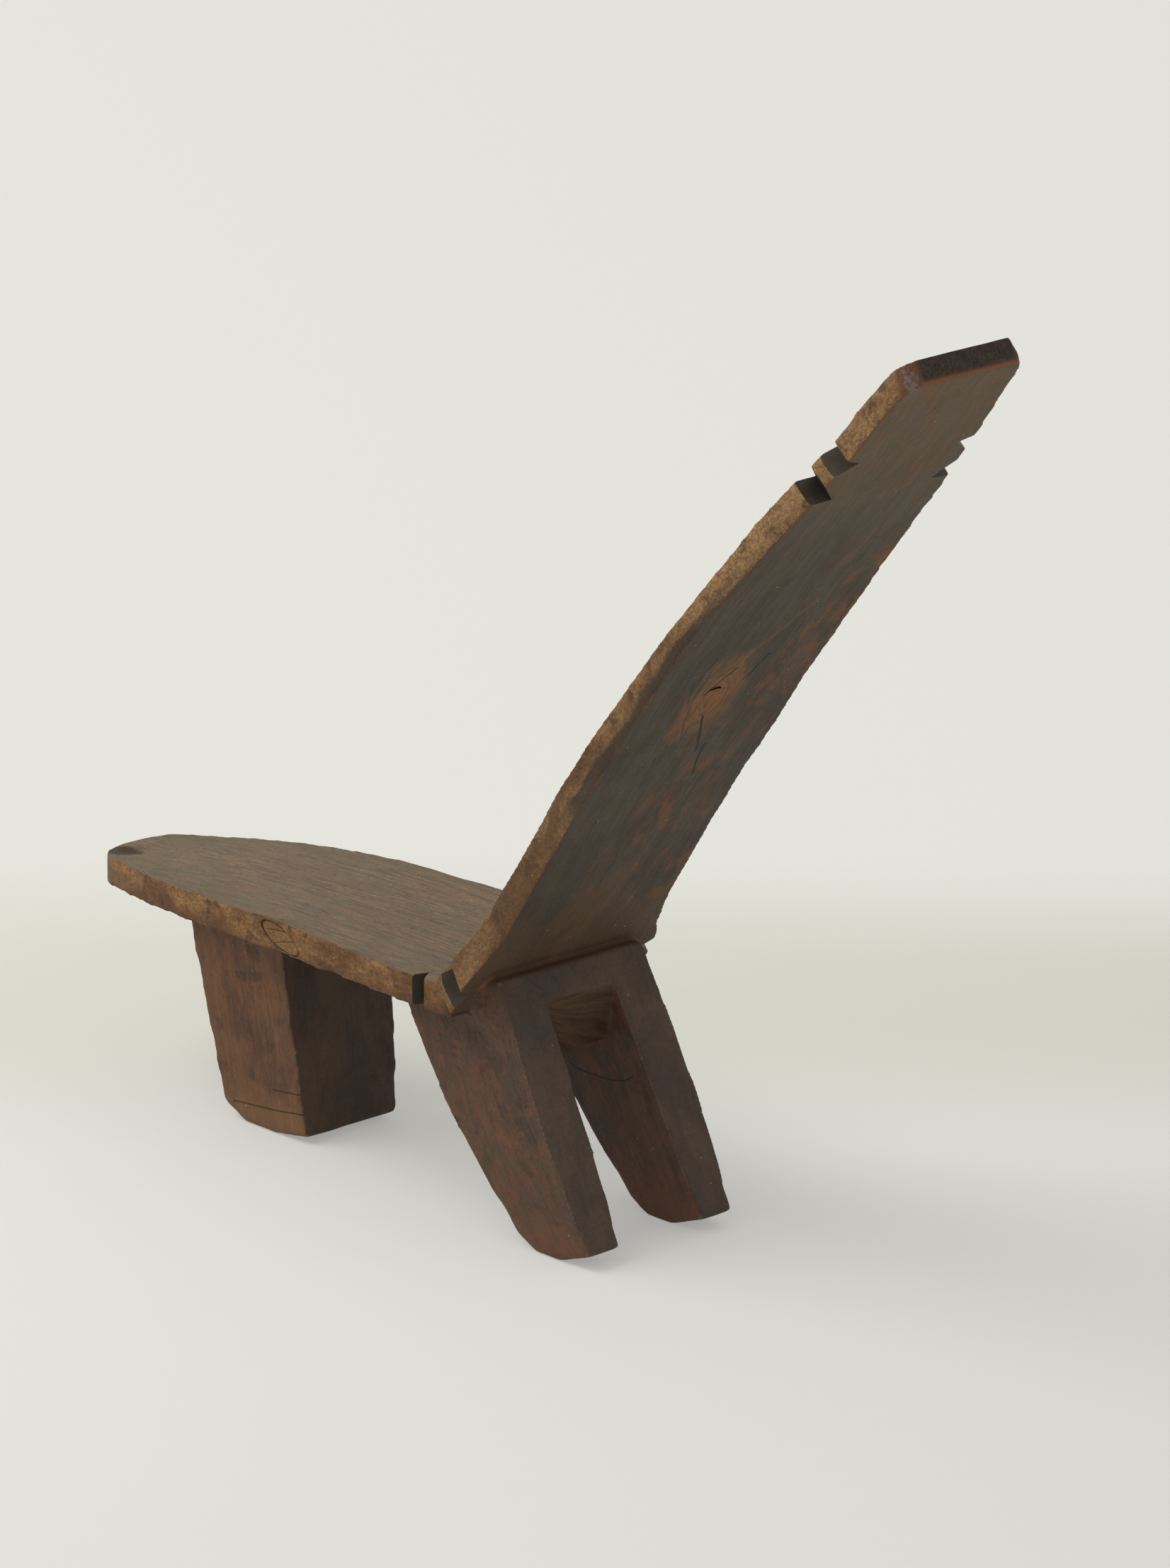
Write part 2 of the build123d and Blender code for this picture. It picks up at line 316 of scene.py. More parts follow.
# the block swells a little on both sides, where seat, backrest and legs meet
for turn in (1, -1):
    blocks.append(six_sided("flare", {
        (1, 1, 1): (turn * 73, 67, 198), (1, -1, 1): (turn * 86.5, 34, 192),
        (-1, 1, 1): (turn * 50, 62, 198), (-1, -1, 1): (turn * 50, 34, 192),
        (1, 1, -1): (turn * 74, 92, 150), (1, -1, -1): (turn * 75, 22, 150),
        (-1, 1, -1): (turn * 50, 85, 150), (-1, -1, -1): (turn * 50, 22, 150),
    }))
# seat and backrest run into each other with a small fillet
blocks.append(side_prism("inside_corner", [(10, 194), (29, 186), (36, 212)], -86, 86))
# the notches are filled first, so that they can be cut crisply once the log is hewn
tooth_outline = [
    (-3, 171.6), (-3, 194.4), (25.2, 194.6), (40, 218), (60, 207), (54, 194), (47, 180.5),
    (41, 171.6),
]
blocks.append(side_prism("right_notch_filler", tooth_outline, 80, 99.4))
blocks.append(side_prism("left_notch_filler", tooth_outline, -99.4, -80))
for turn in (1, -1):
    blocks.append(plank_wedge("upper_notch_filler", turn, {
        (1, 1): (63.6, 586), (1, -1): (69.3, 533), (-1, 1): (42, 586), (-1, -1): (42, 533),
    }, 0.3, 16.9))

only(*blocks)
bpy.ops.object.join()
log = bpy.context.object
log.name = "log"
finish_with(log, "REMESH", mode="VOXEL", voxel_size=finest, adaptivity=0)
finish_with(log, "SMOOTH", factor=0.5, iterations=3)
x, y, z = read_places(log)
side_sign = np.sign(x)

# the plank of the backrest follows the waves of its worn front and hewn rear
angle = np.arctan2(z - bow_centre_z, y - bow_centre_y)
reach = (foot_angle - angle) * bow_radius
depth = bow_radius - np.hypot(y - bow_centre_y, z - bow_centre_z)
in_plank = depth < 45
thickness = foot_thick - (foot_thick - top_thick) * reach / plank_length
front_face = np.interp(
    reach,
    (0, 21, 39, 86, 135, 190, 244, 306, 355, 402, 447, 489, 539, 587, 612, 648, 663),
    (0, 0.6, 2, 2.2, 2.4, 0, -0.7, 0.6, 1.6, 3.0, 2.4, 1.0, 2.0, 3.4, 0.6, -1.2, 0.6),
)
rear_face = np.interp(
    reach,
    (0, 15, 59, 90, 147, 196, 257, 304, 362, 416, 465, 514, 539, 586, 612, 640, 661),
    (23, 23.6, 24.6, 25, 23.5, 22.5, 23, 21, 20.4, 19.8, 21, 22.6, 22.4, 21, 19.3, 17, 17),
)
on_plank = fair(reach, 12, 40) * in_plank
new_depth = front_face + depth / thickness * (rear_face - front_face)
move = (new_depth - depth) * on_plank
radial = np.stack([bow_centre_y - y, bow_centre_z - z], 1)
radial /= np.linalg.norm(radial, axis=1)[:, None]
y += radial[:, 0] * move
z += radial[:, 1] * move
edge = fair(np.abs(x), 50, 78) * on_plank
near_wave = 0.45 * ripples(reach, (58, 81, 137), 5)
far_wave = 0.4 * ripples(reach, (31, 58, 97), 9)
x += side_sign * edge * np.where(x > 0, near_wave, far_wave)
# the top end was cut off askew: higher at the front and on the left side
askew = fair(reach, 628, 658) * in_plank * (3.2 - 0.068 * x - 0.5 * depth)
y += askew * np.sin(angle)
z -= askew * np.cos(angle)
# its left corner is worn round at the front
x += 5 * fair(reach, 600, 650) * fair(-x, 42, 54) * (1 - fair(depth, 0, 10))
# above the corner the fillers end where the plank's own edge does
limit = np.interp(z, (190, 197, 207, 231, 256), (100, 99, 93.5, 88.5, 140))
x = side_sign * np.minimum(np.abs(x), np.where(y > 24, limit, 140))

# the seat's rim and underside, and the legs' faces, wander the same way
on_seat = fair(z, 150, 168) * (1 - fair(reach, -12, 10)) * (y < 20)
towards_tip = np.sqrt(np.clip(1 - ((y + 150.6) / 294) ** 2, 0.02, 1))
half_width = np.where(y > -150, 91 + (y + 150) * 0.06, 91 * towards_tip)
rim = fair(np.abs(x) / half_width, 0.6, 0.95) * on_seat * (y < -12)
x += side_sign * rim * 0.5 * ripples(y, (33, 52, 88), 21)
z += rim * fair(192 - z, 0, 14) * 0.3 * ripples(y + 15 * side_sign, (37, 54, 81), 33)
on_legs = fair(168 - z, 0, 12)
x += on_legs * 0.35 * ripples(z + 0.4 * y, (46, 67, 93), 41) * fair(np.abs(x), 35, 45)
y += on_legs * 0.3 * ripples(z + 0.5 * x, (41, 59, 87), 55)
# the nose is blunter than a drawn point, and its left side stands a little higher
nose = fair(-y, 380, 412) * (z > 140)
blunt = nose * 6.5 * np.exp(-(((np.abs(x) - 34) / 20) ** 2))
x += side_sign * 0.7 * blunt
y -= 0.6 * blunt
z += fair(-y, 405, 432) * fair(z, 158, 176) * 1.2 * (1 - fair(x, 20, 50))
# the board is thicker where its rim runs over the knot
over_knot = np.exp(-(((y + 160) / 34) ** 2)) * fair(x, 60, 88) * fair(z, 180, 195)
z += 2.0 * over_knot
write_places(log, [x, y, z])
# the soles of the legs are worn round
soles = log.vertex_groups.new(name="soles")
low = np.nonzero(z < 45)[0]
for index, weight in zip(low.tolist(), fair(-z[low], -45, -25).tolist()):
    soles.add([index], weight, "REPLACE")
finish_with(log, "SMOOTH", factor=0.5, iterations=22, vertex_group="soles")

hewn = bpy.data.textures.new("hewn", "CLOUDS")
hewn.noise_scale = 0.026
hewn.noise_depth = 1
finish_with(log, "DISPLACE", texture=hewn, strength=0.0005, mid_level=0.5)
chopped = bpy.data.textures.new("chopped", "VORONOI")
chopped.noise_scale = 0.021
finish_with(log, "DISPLACE", texture=chopped, strength=0.0003, mid_level=0.4)

x, y, z = read_places(log)
z = np.maximum(z, 0)
# a hollow worn into the top of the nose, and a corner knocked off the backrest's top
hollow = np.hypot((x - 20) / 13, (y + 417) / 20)
z -= 3.0 * (1 - fair(hollow, 0.35, 1.0)) * (z > 168)
chamfer = np.array([
    plank_point(56, 646, 17.5), plank_point(38, 661, 17.5), plank_point(52, 657, 7),
])
outward = np.cross(chamfer[1] - chamfer[0], chamfer[2] - chamfer[0])
if outward[0] < 0:
    outward = -outward
near_top = (x > 20) & (z > 690)
pressed = press_flat([x, y, z], chamfer[0], outward)
write_places(log, [np.where(near_top, p, row) for p, row in zip(pressed, (x, y, z))])


def part_off(name, outline, left, right):
    """The share of the log inside a prism, as a member of its own."""
    knife = side_prism(name + "_knife", outline, left, right)
    member = bpy.data.objects.new(name, log.data.copy())
    bpy.context.scene.collection.objects.link(member)
    finish_with(member, "BOOLEAN", operation="INTERSECT", object=knife, solver="MANIFOLD")
    bpy.data.objects.remove(knife)
    only(member)
    bpy.ops.object.shade_smooth_by_angle(angle=math.radians(50))
    return member


# The wood: dense, dark and weathered, with figure that runs along the grain.  Every
# member is cut from the same log, so all share one figure, and all the notches one
# look.  Places are in millimetres: across the grain, along it and into the wood.
figure = bpy.data.node_groups.new("wood_figure", "ShaderNodeTree")
figure.interface.new_socket("Place", in_out="INPUT", socket_type="NodeSocketVector")
figure_parts = ("Blotch", "Streak", "Fibre", "Pit", "Speckle", "Grit", "Fleck")
for label in figure_parts:
    figure.interface.new_socket(label, in_out="OUTPUT", socket_type="NodeSocketFloat")
figure_in = figure.nodes.new("NodeGroupInput").outputs[0]
figure_out = figure.nodes.new("NodeGroupOutput")


def vector_maths(tree, operation, first, second):
    """One sum on places."""
    return add_node(tree, "VectorMath", first, second, operation=operation)


def noise(tree, place, stretch, detail=2.0, rough=0.5, output=0):
    """Noise whose spots are this many millimetres across, along and deep."""
    scaled = vector_maths(tree, "MULTIPLY", place, tuple(1 / s for s in stretch))
    return add_node(tree, "TexNoise", scaled, output=output, named={
        "Scale": 1.0, "Detail": detail, "Roughness": rough,
    })


def patches(tree, place, stretch, detail, rough, low, high):
    """A mask of soft-edged patches: noise, eased while it goes from low to high."""
    return ease(tree, noise(tree, place, stretch, detail, rough), low, high)


# the grain wanders up to 6 mm to either side on its way
drift = noise(figure, figure_in, (70, 160, 70), 1.0, output=1)
drift = vector_maths(figure, "SUBTRACT", drift, (0.5, 0.5, 0.5))
drift = vector_maths(figure, "MULTIPLY", drift, (12, 0, 12))
flowing = vector_maths(figure, "ADD", figure_in, drift)
for label, base, *spots in (
    ("Blotch", flowing, (30, 62, 30), 6.0, 0.62, 0.38, 0.62),
    ("Streak", flowing, (3.2, 60, 3.2), 5.0, 0.68, 0.38, 0.62),
    ("Fibre", flowing, (0.7, 9, 0.7), 3.0, 0.7, 0.38, 0.62),
    ("Pit", flowing, (1.1, 5.5, 1.1), 2.0, 0.6, 0.58, 0.68),
    ("Speckle", figure_in, (2.4, 3.2, 2.4), 4.0, 0.75, 0.42, 0.58),
    ("Grit", figure_in, (0.8, 1.1, 0.8), 2.0, 0.7, 0.40, 0.60),
):
    figure.links.new(patches(figure, base, *spots), figure_out.inputs[label])
flecks = vector_maths(figure, "MULTIPLY", figure_in, (1 / 17, 1 / 17, 1 / 17))
flecks = add_node(figure, "TexVoronoi", flecks, named={"Scale": 1.0})
figure.links.new(ease(figure, flecks, 0.045, 0.028), figure_out.inputs["Fleck"])


def less(tree, first, second):
    return maths(tree, "SUBTRACT", first, second)


def add_share(tree, total, value, share):
    """A total, and a share of a value on top."""
    return maths(tree, "MULTIPLY_ADD", value, share, total)


def sum_of(tree, first, share, second, other_share):
    """A share of one value, and a share of another."""
    return add_share(tree, times(tree, second, other_share), first, share)


def from_middle(tree, first, second, middle, halves):
    """How far a place is from an oval's middle, squared: 1 on the oval."""
    u = maths(tree, "DIVIDE", less(tree, first, middle[0]), halves[0])
    v = maths(tree, "DIVIDE", less(tree, second, middle[1]), halves[1])
    return sum_of(tree, u, u, v, v)


def three_of(tree, vector):
    """The three numbers of a place or a direction."""
    node = tree.nodes.new("ShaderNodeSeparateXYZ")
    plug(tree, node.inputs[0], vector)
    return tuple(node.outputs)


def start_look(name):
    """A new material, its tree, and the place on the piece in millimetres."""
    look = bpy.data.materials.new(name)
    look.use_nodes = True
    tree = look.node_tree
    tree.nodes.clear()
    place = add_node(tree, "TexCoord", output=3)
    return look, tree, vector_maths(tree, "MULTIPLY", place, (1000, 1000, 1000))


def read_shape(tree):
    """Which way the surface faces, in three numbers, and how sharp its edge is."""
    shape = tree.nodes.new("ShaderNodeNewGeometry")
    return *three_of(tree, shape.outputs["Normal"]), shape.outputs["Pointiness"]


def read_figure(tree, place):
    """The masks of the wood's figure at a place, in the order of figure_parts."""
    node = tree.nodes.new("ShaderNodeGroup")
    node.node_tree = figure
    plug(tree, node.inputs[0], place)
    return [node.outputs[label] for label in figure_parts]


def tint(tree, colour, share, strength, other):
    """Lays another colour over this one, as strongly as a mask says."""
    return blend_colours(tree, times(tree, share, strength), colour, other)


def paint_crease_shade(tree, colour, point, strength, crease):
    """Lays a colour into the inside corners, as a painted shade."""
    return blend_colours(tree, ease(tree, point, 0.47, 0.40, 0.0, strength), colour, crease)


def dull_relief(tree, streak, fibre, pit, grit):
    """The height of weathered grain, from 0 to 1."""
    total = add_share(tree, sum_of(tree, fibre, 0.35, streak, 0.25), grit, 0.2)
    return add_share(tree, total, pit, -0.4)


def crack(tree, first, second, places, width):
    """A mask of a crack that runs through these places of two coordinates."""
    total = None
    for (a, b), (c, d) in zip(places, places[1:]):
        length = math.hypot(c - a, d - b)
        run, rise = (c - a) / length, (d - b) / length
        off_a, off_b = less(tree, first, a), less(tree, second, b)
        along = sum_of(tree, off_b, rise, off_a, run)
        aside = sum_of(tree, off_b, run, off_a, -rise)
        past = maths(tree, "ABSOLUTE", less(tree, along, length / 2))
        past = maths(tree, "MAXIMUM", less(tree, past, length / 2), 0.0)
        away_from = maths(tree, "SQRT", sum_of(tree, past, past, aside, aside))
        here = ease(tree, away_from, width, width * 0.3)
        total = here if total is None else maths(tree, "MAXIMUM", total, here)
    return total


def growth_lines(tree, far, turns):
    """Thin lines round a knot, from its middle outwards."""
    wave = maths(tree, "SINE", times(tree, far, turns))
    return add_share(tree, 0.5, wave, 0.5)


def end_look(tree, colour, roughness, height, relief):
    """Closes a material: its colour, its gloss, and a relief in millimetres."""
    shader = tree.nodes.new("ShaderNodeBsdfPrincipled")
    plug(tree, shader.inputs["Base Color"], colour)
    plug(tree, shader.inputs["Roughness"], roughness)
    shader.inputs["Specular IOR Level"].default_value = 0.28
    bump = tree.nodes.new("ShaderNodeBump")
    bump.inputs["Strength"].default_value = 1.0
    bump.inputs["Distance"].default_value = relief / 1000
    plug(tree, bump.inputs["Height"], height)
    tree.links.new(bump.outputs[0], shader.inputs["Normal"])
    tree.links.new(shader.outputs[0], tree.nodes.new("ShaderNodeOutputMaterial").inputs[0])


def dress(piece, look):
    """Gives a piece one look all over."""
    piece.data.materials.clear()
    piece.data.materials.append(look)


def cut_away(member, cutter):
    """Cuts a shape out of a member; the cut keeps the cutter's own look."""
    finish_with(
        member, "BOOLEAN", operation="DIFFERENCE", object=cutter, solver="MANIFOLD",
        material_mode="TRANSFER",
    )
    bpy.data.objects.remove(cutter)
    only(member)
    bpy.ops.object.shade_smooth_by_angle(angle=math.radians(40))


# the walls of the notches are dark and smooth with handling
notch_look, tree, place = start_look("notch_look")
blotch, streak, fibre, pit, _, grit, _ = read_figure(tree, place)
colour = blend_colours(tree, blotch, paint(52, 45, 39), paint(74, 65, 57))
colour = tint(tree, colour, grit, 0.3, paint(84, 70, 55))
end_look(tree, colour, 0.5, dull_relief(tree, streak, fibre, pit, grit), 0.3)


def corner_notch(turn):
    """The wedge that parts the tooth of the seat from the shoulder of the backrest."""
    wedge = six_sided("corner_notch", {
        (1, 1, 1): (turn * 107, 38, 235.7), (1, -1, 1): (turn * 107, 17.7, 221.2),
        (-1, 1, 1): (turn * 85.2, 10.8, 217.1), (-1, -1, 1): (turn * 85.2, 10.8, 217.1),
        (1, 1, -1): (turn * 107, 64.2, 174.9), (1, -1, -1): (turn * 107, 49.5, 158.6),
        (-1, 1, -1): (turn * 87.8, 73.2, 173.9), (-1, -1, -1): (turn * 87.8, 73.2, 173.9),
    })
    # its twisted sides are cut as smooth surfaces
    finish_with(wedge, "SUBSURF", subdivision_type="SIMPLE", levels=3)
    dress(wedge, notch_look)
    return wedge


def knot_socket(node, growth):
    """A knot's own shape, grown a little all round: the hole that it sits in."""
    hole = take_block(node)
    corners = [vertex.co.copy() for vertex in hole.data.vertices]
    middle = sum(corners, Vector()) / len(corners)
    for vertex in hole.data.vertices:
        vertex.co = middle + (vertex.co - middle) * growth
    dress(hole, notch_look)
    return hole


# Seat: a flat board that ends in a drooping point, weathered grey-brown on top from
# use, with lighter rounded edges.  It is carved in one with the legs and the backrest.
whole_width = (-130, 130)
front_leg_top = [(-318, 140), (-312, 162.5), (-250, 165.5), (-199, 167.5), (-192, 150)]
rear_block_top = [(-46, 150), (-42, 168.5), (46.5, 168.5), (42.9, 173.9)]
seat = part_off("seat_board", [
    (-500, 120), *front_leg_top, *rear_block_top, (27.5, 196.4), (-10, 251.4), (-500, 300),
], *whole_width)
look, tree, place = start_look("seat_wood_look")
blotch, streak, fibre, pit, speckle, grit, fleck = read_figure(tree, place)
px, py, pz = three_of(tree, place)
_, ny, nz, point = read_shape(tree)
worn_grit, open_pore = paint(84, 68, 54), paint(60, 48, 38)
top = blend_colours(tree, streak, paint(108, 91, 73), paint(150, 132, 109))
top = tint(tree, top, fibre, 0.3, paint(88, 72, 57))
top = tint(tree, top, grit, 0.3, worn_grit)
warm = patches(tree, place, (6, 70, 6), 4.0, 0.65, 0.49, 0.62)
top = tint(tree, top, warm, 0.6, paint(142, 106, 82))
top = tint(tree, top, blotch, 0.3, paint(104, 93, 79))
edges = less(tree, maths(tree, "ABSOLUTE", px), times(tree, py, 0.25))
top = tint(tree, top, ease(tree, edges, 90, 150), 0.4, paint(104, 97, 74))
top = tint(tree, top, pit, 0.6, open_pore)
rim_wood = blend_colours(tree, blotch, paint(120, 82, 48), paint(178, 132, 82))
rim_wood = tint(tree, rim_wood, speckle, 0.5, paint(72, 50, 33))
rim_wood = tint(tree, rim_wood, grit, 0.3, paint(70, 50, 34))
rim_patch = patches(tree, place, (15, 20, 15), 5.0, 0.7, 0.53, 0.63)
rim_wood = tint(tree, rim_wood, rim_patch, 0.7, paint(60, 45, 34))
rim_wood = blend_colours(tree, ease(tree, pz, 182, 168, 0.0, 0.5), rim_wood, paint(88, 60, 42))
below = blend_colours(tree, streak, paint(70, 50, 38), paint(96, 70, 52))
colour = blend_colours(tree, ease(tree, nz, 0.45, 0.8), rim_wood, top)
colour = blend_colours(tree, ease(tree, nz, -0.5, -0.85), colour, below)
# a painted shade on the underside of the tooth behind the notch
shade_under_tooth = times(tree, ease(tree, py, 32, 42), ease(tree, pz, 190, 180))
colour = tint(tree, colour, shade_under_tooth, 0.75, paint(68, 55, 44))
# the blunt end of the nose is rubbed grey, and dirt has stayed in its hollow
tip = times(tree, ease(tree, ny, -0.15, -0.6), ease(tree, py, -392, -422))
grey_tip = blend_colours(tree, speckle, paint(98, 88, 74), paint(128, 115, 96))
colour = blend_colours(tree, tip, colour, grey_tip)
hollow_far = from_middle(tree, px, py, (26, -421), (14.0, 19.0))
hollow_far = add_share(tree, hollow_far, noise(tree, place, (9, 9, 9)), 0.8)
in_hollow = times(tree, ease(tree, hollow_far, 1.6, 1.0), ease(tree, nz, 0.2, 0.5))
colour = tint(tree, colour, in_hollow, 0.9, paint(62, 48, 37))
# a painted highlight along the convex arrises
colour = blend_colours(tree, ease(tree, point, 0.53, 0.60, 0.0, 0.5), colour, paint(150, 122, 92))
# painted shade in the inside corners
colour = paint_crease_shade(tree, colour, point, 0.85, paint(38, 31, 26))
colour = tint(tree, colour, fleck, 0.6, paint(205, 200, 190))
roughness = add_share(tree, 0.62, streak, 0.12)
end_look(tree, colour, roughness, dull_relief(tree, streak, fibre, pit, grit), 0.8)
dress(seat, look)
for turn in (1, -1):
    notch = six_sided("seat_notch", {
        (1, 1, 1): (turn * 106, 18.3, 215), (1, -1, 1): (turn * 106, -1, 215),
        (-1, 1, 1): (turn * 87.5, 6.5, 215), (-1, -1, 1): (turn * 87.5, 6.4, 215),
        (1, 1, -1): (turn * 106, 18.3, 155), (1, -1, -1): (turn * 106, -1, 155),
        (-1, 1, -1): (turn * 87.5, 6.5, 155), (-1, -1, -1): (turn * 87.5, 6.4, 155),
    })
    dress(notch, notch_look)
    cut_away(seat, notch)
    cut_away(seat, corner_notch(turn))
cut_away(seat, knot_socket("seat_edge_knot", Vector((1.15, 1.03, 1.03))))
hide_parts("seat")
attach(seat, "root")

# Backrest: a long bowed plank, rubbed along its edges and hewn across its rear face,
# with two pairs of notches near its top.  Its grain turns out of the seat's.
backrest = part_off("backrest_plank", [
    (27.5, 196.4), (42.9, 173.9), (63.5, 206.7), (90, 220), (600, 220), (600, 900),
    (-10, 900), (-10, 251.4),
], *whole_width)
look, tree, place = start_look("back_wood_look")


def plank_place(tree, place):
    """Place along the bowed plank: across it, up it from its foot, behind its front."""
    across, y, z = three_of(tree, place)
    dy, dz = less(tree, y, bow_centre_y), less(tree, z, bow_centre_z)
    turn = less(tree, foot_angle, maths(tree, "ARCTAN2", dz, dy))
    radius = maths(tree, "SQRT", sum_of(tree, dy, dy, dz, dz))
    return across, times(tree, turn, bow_radius), less(tree, bow_radius, radius)


across, up, behind = plank_place(tree, place)
# the grain parts round the knot
aside = less(tree, across, 12)
above = times(tree, less(tree, up, 303), 0.58)
far = sum_of(tree, aside, aside, above, above)
parting = maths(tree, "DIVIDE", 260.0, maths(tree, "ADD", far, 110))
bent = less(tree, across, times(tree, aside, parting))
grain = add_node(tree, "CombineXYZ", bent, up, behind)
blotch, streak, fibre, pit, speckle, grit, fleck = read_figure(tree, grain)
nx, ny, nz, point = read_shape(tree)
sideways = maths(tree, "ABSOLUTE", nx)
rear = blend_colours(tree, blotch, paint(78, 70, 58), paint(94, 84, 70))
rear = tint(tree, rear, streak, 0.08, paint(66, 56, 44))
rear = tint(tree, rear, fibre, 0.08, paint(58, 48, 37))
rear = tint(tree, rear, speckle, 0.3, paint(62, 51, 40))
rear = tint(tree, rear, grit, 0.35, paint(52, 43, 34))
# rust-coloured patches, more of them towards the left side
rust = patches(tree, grain, (14, 21, 14), 6.0, 0.72, 0.49, 0.61)
where = patches(tree, grain, (48, 120, 48), 2.0, 0.5, 0.40, 0.56)
rust_side = ease(tree, add_share(tree, across, up, 0.12), 60, -10, 0.1, 1.0)
rust = times(tree, rust, times(tree, rust_side, where))
rear = tint(tree, rear, rust, 0.85, paint(126, 76, 46))
# brown and orange round the foot, where it grows out of the block
foot = ease(tree, add_share(tree, up, blotch, -50.0), 95, 30)
rear = tint(tree, rear, foot, 0.55, paint(98, 70, 46))
# curved growth lines and ochre wood round the knot
rings_from = add_share(tree, maths(tree, "SQRT", far), noise(tree, place, (16, 16, 16), 3.0), 9.0)
swirl = growth_lines(tree, rings_from, 1.7)
swirl = times(tree, swirl, patches(tree, grain, (5, 16, 5), 4.0, 0.65, 0.40, 0.60))
ragged = noise(tree, grain, (15, 30, 15), 5.0, 0.7)
near_knot = ease(tree, add_share(tree, far, ragged, 3000.0), 2700, 1500)
rear = tint(tree, rear, near_knot, 0.85, paint(144, 96, 54))
rear = tint(tree, rear, times(tree, swirl, near_knot), 0.6, paint(54, 38, 25))
# paler and dustier towards the top, with ochre patches
rear = blend_colours(tree, ease(tree, up, 400, 640, 0.0, 0.5), rear, paint(130, 110, 88))
ochre = patches(tree, grain, (18, 26, 18), 5.0, 0.65, 0.47, 0.62)
ochre = times(tree, ochre, ease(tree, up, 500, 570))
rear = tint(tree, rear, ochre, 0.6, paint(122, 88, 58))
# fine strokes of the adze, thirty degrees off the grain
stroke_across = sum_of(tree, up, 0.5, across, 0.87)
stroke_along = sum_of(tree, up, 0.87, across, -0.5)
strokes = add_node(tree, "CombineXYZ", stroke_across, stroke_along, behind)
strokes = patches(tree, strokes, (1.3, 26, 40), 3.0, 0.6, 0.55, 0.66)
rear = tint(tree, rear, strokes, 0.2, paint(50, 42, 34))
rear = tint(tree, rear, pit, 0.28, paint(42, 34, 27))
# a pale split runs up from the knot, and gouges fan out beside it
split = crack(tree, across, up, [(16, 315), (11, 334), (0, 357), (-18, 379), (-32, 404)], 2.4)
rear = tint(tree, rear, split, 0.5, paint(128, 92, 54))
for places in (
    [(-15, 319), (-16, 338), (-22, 348)], [(39.5, 319), (40, 340), (34, 366)],
    [(32, 312), (33, 342)], [(17, 262), (26, 285), (30, 303)], [(18, 255), (18, 279)],
    [(36, 308), (46, 335)],
):
    rear = tint(tree, rear, crack(tree, across, up, places, 1.2), 0.6, paint(40, 30, 22))
for places in (
    [(23.2, 313.2), (14.5, 328.6), (5.7, 339.4)], [(9, 287.7), (0.8, 268.4), (-8.9, 246.4)],
    [(-13.6, 252.8), (-17.3, 232.5), (-22.9, 216.9)], [(-11.2, 321.7), (-17, 337.2)],
    [(-18.3, 340.8), (-20.9, 347.8)],
):
    rear = tint(tree, rear, crack(tree, across, up, places, 1.5), 0.95, paint(22, 17, 14))
rim_wood = blend_colours(tree, blotch, paint(114, 80, 48), paint(170, 130, 84))
high_up = ease(tree, up, 340, 520, 0.0, 0.45)
rim_wood = blend_colours(tree, high_up, rim_wood, paint(194, 152, 104))
rim_wood = tint(tree, rim_wood, ease(tree, up, 140, 40), 0.4, paint(92, 66, 44))
rim_wood = tint(tree, rim_wood, speckle, 0.5, paint(72, 50, 34))
rim_wood = tint(tree, rim_wood, grit, 0.3, paint(72, 52, 36))
rim_patch = patches(tree, place, (14, 17, 14), 5.0, 0.7, 0.54, 0.63)
rim_wood = tint(tree, rim_wood, rim_patch, 0.65, paint(64, 47, 35))
# a dark band runs along the rear arris of the rim, halfway up
wander = noise(tree, grain, (22, 34, 22), 4.0, 0.6)
middle = times(tree, ease(tree, up, 165, 215), ease(tree, up, 480, 390))
band = ease(tree, add_share(tree, behind, wander, 14.0), 18, 22)
rim_wood = tint(tree, rim_wood, times(tree, band, middle), 0.85, paint(54, 44, 37))
front = blend_colours(tree, streak, paint(106, 90, 72), paint(144, 126, 103))
front = tint(tree, front, blotch, 0.35, paint(96, 82, 66))
front = tint(tree, front, rust, 0.35, paint(134, 98, 72))
front = tint(tree, front, grit, 0.3, worn_grit)
front = tint(tree, front, pit, 0.5, open_pore)
end_grain = blend_colours(tree, speckle, paint(52, 42, 36), paint(76, 61, 50))
colour = blend_colours(tree, ease(tree, sideways, 0.35, 0.75), rear, rim_wood)
facing_front = sum_of(tree, nz, 0.62, ny, -0.78)
colour = blend_colours(tree, ease(tree, facing_front, 0.3, 0.8), colour, front)
facing_up = sum_of(tree, nz, 0.74, ny, 0.67)
at_end = times(tree, ease(tree, up, 560, 620), ease(tree, across, 47, 39))
at_end = times(tree, ease(tree, facing_up, 0.55, 0.85), at_end)
colour = blend_colours(tree, at_end, colour, end_grain)
# the rear arrises are rubbed to red here and there, and all along near the top
red_line = times(tree, ease(tree, sideways, 0.15, 0.4), ease(tree, sideways, 0.8, 0.55))
red_line = times(tree, red_line, ease(tree, behind, 12, 17))
here_and_there = ease(tree, wander, 0.42, 0.56, 0.15, 1.0)
patchy = maths(tree, "MAXIMUM", here_and_there, ease(tree, up, 540, 600))
colour = tint(tree, colour, times(tree, red_line, patchy), 0.75, paint(136, 82, 48))
